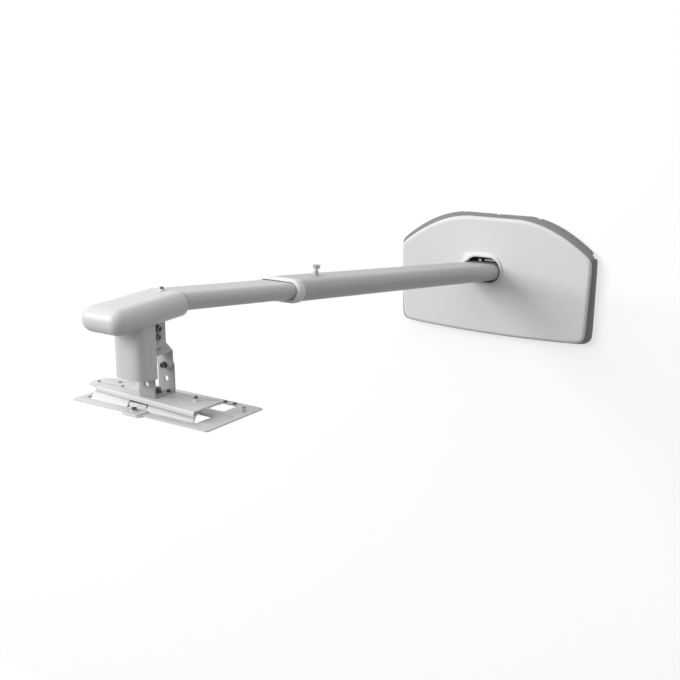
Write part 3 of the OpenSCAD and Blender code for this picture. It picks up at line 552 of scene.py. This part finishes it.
def column_section(r):
    """Line of the column as (x, y) points: straight sides and a squared bow, |x / r|^p + |y / deep|^p = 1."""
    a = np.linspace(0, -np.pi, 49)
    share = 2 / column_square
    deep = column_deep + r - column_r
    bow = np.stack([r * np.sign(np.cos(a)) * np.abs(np.cos(a)) ** share,
                    column_front - deep * np.abs(np.sin(a)) ** share], 1)
    straight = np.linspace(column_back, column_front, 7)[:-1]
    right = np.stack([np.full(6, r), straight], 1)
    left = np.stack([np.full(6, -r), straight[::-1]], 1)
    return np.concatenate([right, bow, left])


def column_ring(z_low, draw_in):
    """One closed loop of the column's wall, its outer line drawn in by some mm at the lower rim."""
    line_out, line_in = column_section(column_r - draw_in), column_section(column_r - 2.4 + draw_in)
    loop = np.concatenate([line_out, line_in[::-1]])
    return np.stack([loop[:, 0] - 26.0, loop[:, 1], z_low + (column_back - loop[:, 1]) * rim_rise], 1)


column = [column_ring(column_low, 0.8), column_ring(column_low + 0.35, 0.25), column_ring(column_low + 1.1, 0.0)]
top_ring = column_ring(0, 0.0)
top_ring[:, 2] = bend[2] + head_up - head_h / 2 + (top_ring[:, 1] - bend[1]) * np.tan(head_fall) + 3.0
add_piece("column_shell", "inner_arm_and_head", "cover_plastic", head_plastic,
          *skin(column + [top_ring]), sharp=40, stands_for=("column_cover",))

# Folded steel of the adjuster: laser cut blanks with deburred edges, bent to shape
# and powder coated. The carrier's two cheeks hold the tilt bolt.
steel_paint = finish("powder_coat_adjuster", (0.62, 0.623, 0.63), 0.44, 0.9, 0.05, 0.04)
pale_paint = finish("powder_coat_plates", (0.74, 0.743, 0.75), 0.46, 0.9, 0.05, 0.02)
bolt_grey = finish("plated_bolts", (0.15, 0.15, 0.155), 0.38, 0.5, 0.03, 0.3, metallic=0.6)


def filleted(corners, steps=7):
    """Closed outline through (u, v, radius) corners: each corner becomes an arc that touches both its sides."""
    corners = np.asarray(corners, float)
    points = []
    for k in range(len(corners)):
        here, r = corners[k, :2], corners[k, 2]
        back = corners[k - 1, :2] - here
        on = corners[(k + 1) % len(corners), :2] - here
        back, on = back / np.linalg.norm(back), on / np.linalg.norm(on)
        half = np.arccos(np.clip(back @ on, -1, 1)) / 2
        if r == 0 or half > 1.55:
            points.append(here[None])
            continue
        middle = here + (back + on) / np.linalg.norm(back + on) * r / np.sin(half)
        start, end = (here + w * r / np.tan(half) - middle for w in (back, on))
        sweep = np.pi - 2 * half
        share = np.linspace(0, 1, steps)[:, None]
        points.append(middle + (np.sin((1 - share) * sweep) * start + np.sin(share * sweep) * end) / np.sin(sweep))
    return np.concatenate(points)


def round_hole(u, v, r):
    """Round hole as an outline of 28 points."""
    a = np.linspace(0, 2 * np.pi, 28, endpoint=False)
    return np.stack([u + r * np.cos(a), v + r * np.sin(a)], 1)


def cut_sheet(outlines, thickness, origin, across, up, deburr=0.22):
    """A flat sheet cut to a rim and holes, with deburred edges. The point (u, v) of an outline lies at
    origin + u * across + v * up, and the sheet lies evenly about that plane."""
    flat = bpy.data.curves.new("blank", "CURVE")
    flat.dimensions = "2D"
    flat.fill_mode = "BOTH"
    flat.extrude = thickness / 2 - deburr
    flat.bevel_depth = deburr
    flat.bevel_resolution = 1
    for outline in outlines:
        line = flat.splines.new("POLY")
        line.points.add(len(outline) - 1)
        line.points.foreach_set("co", np.pad(outline, ((0, 0), (0, 2))).ravel())
        line.use_cyclic_u = True
    blank = bpy.data.objects.new("blank", flat)
    bpy.context.scene.collection.objects.link(blank)
    bpy.context.view_layer.update()
    made = bpy.data.meshes.new_from_object(blank.evaluated_get(bpy.context.evaluated_depsgraph_get()))
    bpy.data.objects.remove(blank)
    work = bmesh.new()
    work.from_mesh(made)
    bmesh.ops.remove_doubles(work, verts=work.verts, dist=1e-3)
    bmesh.ops.recalc_face_normals(work, faces=work.faces)
    flat_points = np.array([v.co for v in work.verts])
    faces = [[v.index for v in f.verts] for f in work.faces]
    work.free()
    across, up = np.asarray(across, float), np.asarray(up, float)
    axes = np.stack([across, up, np.cross(across, up)])
    return np.asarray(origin, float) + flat_points @ axes, faces


def bent_strip(section, start, end, inward):
    """A bent sheet: the closed (u, z) section carried straight from start to end, u running inward."""
    inward = np.asarray(inward, float)
    ring = section[:, :1] * inward + section[:, 1:] * np.array([0, 0, 1.0])
    return skin([np.asarray(start, float) + ring, np.asarray(end, float) + ring])


tilt_y, tilt_z, lock_z = -1073.0, 83.0, 70.5
cheek_rim = filleted([(-1085, 108, 0), (-1056.5, 108, 0), (-1056.5, 57, 10), (-1064, 54, 7), (-1085, 54, 9)])
cheeks = put_together([cut_sheet([cheek_rim], 3.3, (x, 0, 0), (0, 1, 0), (0, 0, 1)) for x in (-26 + 16.5, -26 - 16.5)])
add_piece("tilt_cheeks", "inner_arm_and_head", "painted_steel", steel_paint, *cheeks)
soft_copy("head_frame", steel_paint)
soft_copy("tilt_bolt", bolt_grey)
soft_copy("tilt_nut", bolt_grey)

# Hanger: one folded blank with a front leg, two side flanges on the tilt bolt,
# a rear web that jogs back, and a rear leg with a rounded foot.
flange_rim = filleted([(-1078.6, 91, 1), (-1056.6, 91, 4), (-1056.6, 62, 16), (-1041.5, 46, 8), (-1041.5, 42, 0.5),
                       (-1078.6, 42, 1)])
flange_holes = [round_hole(tilt_y, tilt_z, 3.1), round_hole(tilt_y, lock_z, 2.6)]
folds = [cut_sheet([flange_rim] + flange_holes, 2.0, (x, 0, 0), (0, 1, 0), (0, 0, 1))
         for x in (-26 + 13.7, -26 - 13.7)]
web_section = filleted([(-1055.2, 91, 0.4), (-1055.2, 61, 14), (-1040.05, 44, 7), (-1040.05, 38, 0),
                        (-1042.5, 38, 0), (-1042.5, 43.4, 6), (-1057.7, 60.2, 14), (-1057.7, 91, 0.4)])
folds.append(bent_strip(web_section, (-26 - 14.6, 0, 0), (-26 + 14.6, 0, 0), (0, 1, 0)))
for y, top, width in [(-1041.3, 44, 31.0), (-1079.85, 91, 29.2)]:
    leg = filleted([(-width / 2, top, 0.5), (width / 2, top, 0.5), (width / 2, 14, 12), (-width / 2, 14, 12)])
    folds.append(cut_sheet([leg, round_hole(0, 20, 2.6)], 2.46, (-26, y, 0), (1, 0, 0), (0, 0, 1)))
add_piece("hanger_fold", "tilt_hanger", "painted_steel", steel_paint, *put_together(folds), stands_for=("hanger",))
soft_copy("tilt_lock_bolts", bolt_grey, shift=(0, 0, lock_z - 66))
soft_copy("roll_bolts", bolt_grey)
soft_copy("roll_nuts", bolt_grey)

# Roll bracket: a folded U with rounded ears, the swivel bolt through its base.
bracket_paint = finish("powder_coat_bracket", (0.44, 0.443, 0.45), 0.44, 0.9, 0.05, 0.03)
soft_copy("roll_bracket", bracket_paint, round_off=0.35, shift=(0, 0, 0.06))
soft_copy("swivel_bolt", bolt_grey)
soft_copy("swivel_nut", bolt_grey)
soft_copy("swivel_lock_screws", bolt_grey, shift=(0, 0, 0.2))

# Slide plate: a pointed sheet whose slanting front edge is folded down over the rail,
# with small locating screws, shallow pressed lines and a turned stud.
slide_top = -20.5
fold_left = np.array([-133.0, -1081.4, 0])
fold_right = np.array([76.0, -1095.5, 0])
run = (fold_right - fold_left) / np.linalg.norm(fold_right - fold_left)
inward = np.array([-run[1], run[0], 0])
slide_rim = filleted([(76, -1036.6, 2), (76, fold_right[1] + 3.6, 0), (-133, fold_left[1] + 3.6, 0),
                      (-133, fold_left[1], 0), (-148, -1080.4, 4), (-154, -1072, 6), (-154, -1053, 6),
                      (-149, -1045, 6), (-134, -1036.6, 8)])
slide_holes = [round_hole(-145.5, -1062, 1.8), round_hole(-115, -1048, 2.2), round_hole(-97, -1060.5, 2.2)]
parts = [cut_sheet([slide_rim] + slide_holes, 2.0, (0, 0, slide_top - 1), (1, 0, 0), (0, 1, 0), deburr=0.3)]
hem = filleted([(4.0, slide_top, 0), (0.0, slide_top, 3.4), (0.0, -28.3, 0.6), (2.0, -28.3, 0.6),
                (2.0, slide_top - 2.0, 1.4), (4.0, slide_top - 2.0, 0)])
parts.append(bent_strip(hem, fold_left, fold_right, inward))
rear_hem = filleted([(3.0, slide_top, 0), (0.0, slide_top, 2.4), (0.0, -25, 0.5), (2.0, -25, 0.5),
                     (2.0, slide_top - 2.0, 0.8), (3.0, slide_top - 2.0, 0)])
parts.append(bent_strip(rear_hem, (-105, -1036.3, 0), (76, -1036.3, 0), (0, -1, 0)))
line_section = filleted([(-0.7, slide_top - 0.2, 0), (-0.35, slide_top + 0.3, 0), (0.35, slide_top + 0.3, 0),
                         (0.7, slide_top - 0.2, 0)])
for start, end in [((-127, -1059, 0), (-66, -1059, 0)), ((-119, -1068, 0), (-108, -1040, 0)),
                   ((-92, -1068, 0), (-86, -1040, 0)), ((50, -1085, 0), (50, -1069, 0))]:
    start, end = np.array(start, float), np.array(end, float)
    parts.append(bent_strip(line_section, start, end, np.cross([0, 0, 1], end - start) / np.linalg.norm(end - start)))
add_piece("slide_plate_fold", "slide_plate_unit", "painted_steel", pale_paint, *put_together(parts),
          stands_for=("slide_plate",))
pan_head = [(1.5, -3.0), (1.5, 0), (2.4, 0.05), (2.4, 0.5), (1.9, 0.95), (0.9, 1.05), (0.8, 0.6), (0, 0.6)]
pins = put_together([turned(pan_head, (x, y, slide_top), (0, 0, 1)) for x, y in
                     [(-145.5, -1062), (-115, -1048), (-97, -1060.5)]])
add_piece("slide_plate_pins", "slide_plate_unit", "plated_steel", bolt_grey, *pins)
stud = [(2.0, -3.0), (4.2, 0), (4.2, 0.8), (3.6, 1.6), (3.4, 4.6), (3.0, 5.0), (0, 5.0)]
add_piece("slide_stud_turned", "slide_plate_unit", "plated_steel", pale_paint,
          *turned(stud, (47, -1057, slide_top), (0, 0, 1)), stands_for=("slide_stud",))
cap = [(1.6, 4.0), (2.9, 5.0), (3.0, 5.4), (3.0, 8.0), (2.6, 8.4), (1.7, 8.4), (1.5, 7.0), (0, 7.0)]
add_piece("slide_stud_cap", "slide_plate_unit", "plated_steel", screw_grey,
          *turned(cap, (47, -1057, slide_top), (0, 0, 1)))
soft_copy("slide_runners", steel_paint)
soft_copy("glide_pads", slider_black)

# Projector plate: a flat sheet with windows, two rails lanced and bent up out of it,
# and the tab of the lock at its front edge.
plate_z, plates_y = -40.0, -1066.0
plate_rim = filleted([(107.75, -979, 4), (107.75, -1104, 4), (-11, -1104, 3), (-17, -1112.5, 5), (-48, -1112.5, 5),
                      (-54, -1104, 3), (-159.75, -1104, 4), (-159.75, -979, 4)])


def window(x0, x1, y0, y1, r):
    """Four-cornered window with rounded corners."""
    return filleted([(x0, y0, r), (x1, y0, r), (x1, y1, r), (x0, y1, r)], 4)


cuts = [window(5, 72.5, -1086.6, -1051, 0.6), window(-130, -66, -1084.5, -1058, 0.6),
        window(38, 70, -1024, -991, 0.6), window(-142, -110, -1024, -991, 0.6)]
cuts += [round_hole(x, -1036, 2.25) for x in (-147.5, 95.5)] + [round_hole(-145, -1082.5, 2.1)]
cuts += [round_hole(93.6 + u, -1006 + v, 0.9) for u, v in [(-2.6, -6), (3.4, -7), (5.4, -2)]]
sheets = [cut_sheet([plate_rim] + cuts, 2.0, (0, 0, plate_z - 1), (1, 0, 0), (0, 1, 0), deburr=0.3)]
rail = filleted([(-23.2, -41.2, 0), (-21.6, -39.5, 4), (-13.4, -29.2, 4), (-6.5, -29.2, 0.5), (-6.5, -31.0, 0.5),
                 (-12.6, -31.0, 2.2), (-19.0, -39.8, 4), (-20.2, -41.2, 0)])
for x0, x1 in [(-137, -62), (-24, 67.5)]:
    sheets.append(bent_strip(rail, (x0, plates_y, 0), (x1, plates_y, 0), (0, 1, 0)))
sheets.append(bent_strip(rail * [-1, 1], (-121, plates_y, 0), (30, plates_y, 0), (0, 1, 0)))
add_piece("projector_plate_fold", "projector_plate_unit", "painted_steel", pale_paint, *put_together(sheets),
          stands_for=("projector_plate",))

# Lock of the slide: a tongue in the gap of the front rail with a low lip and its clamp screw.
soft_copy("slide_lock", pale_paint, round_off=0.4)
soft_copy("slide_lock_screw", bolt_grey)

# Small screws at the rear right of the projector plate: two low ones as stops, one taller.
low_head = [(1.9, -3.0), (1.9, 0), (3.5, 0.05), (3.6, 0.6), (3.2, 1.7), (1.9, 2.1), (1.7, 1.9), (1.6, 1.0), (0, 1.0)]
tall_head = [(1.9, -3.0), (1.9, 0.1), (3.6, 0.15), (3.7, 1.0), (2.6, 1.3), (2.6, 4.6), (2.2, 5.0), (1.5, 5.0),
             (1.4, 3.8), (0, 3.8)]
stops = put_together([turned(low_head, (x, -987, plate_z), (0, 0, 1)) for x in (42, 60)])
add_piece("stop_screws", "projector_plate_unit", "plated_steel", bolt_grey, *stops, stands_for=("plate_screws",))
plug = turned([(1.5, -1.8), (1.5, 0.1), (2.6, 0.15), (2.5, 0.7), (1.2, 1.0), (0, 1.0)], (-145, -1082.5, plate_z), (0, 0, 1))
add_piece("locating_screw", "projector_plate_unit", "plated_steel", bolt_grey, *plug)
guard_top = turned([(1.2, 4.4), (2.3, 4.7), (2.3, 6.0), (1.9, 6.4), (0, 6.4)], (93.6, -1006, plate_z), (0, 0, 1))
add_piece("guard_screw_cap", "projector_plate_unit", "plated_steel", bolt_grey, *guard_top)
add_piece("guard_screw", "projector_plate_unit", "plated_steel", plated,
          *turned(tall_head, (93.6, -1006, plate_z), (0, 0, 1)))

bpy.context.view_layer.update()
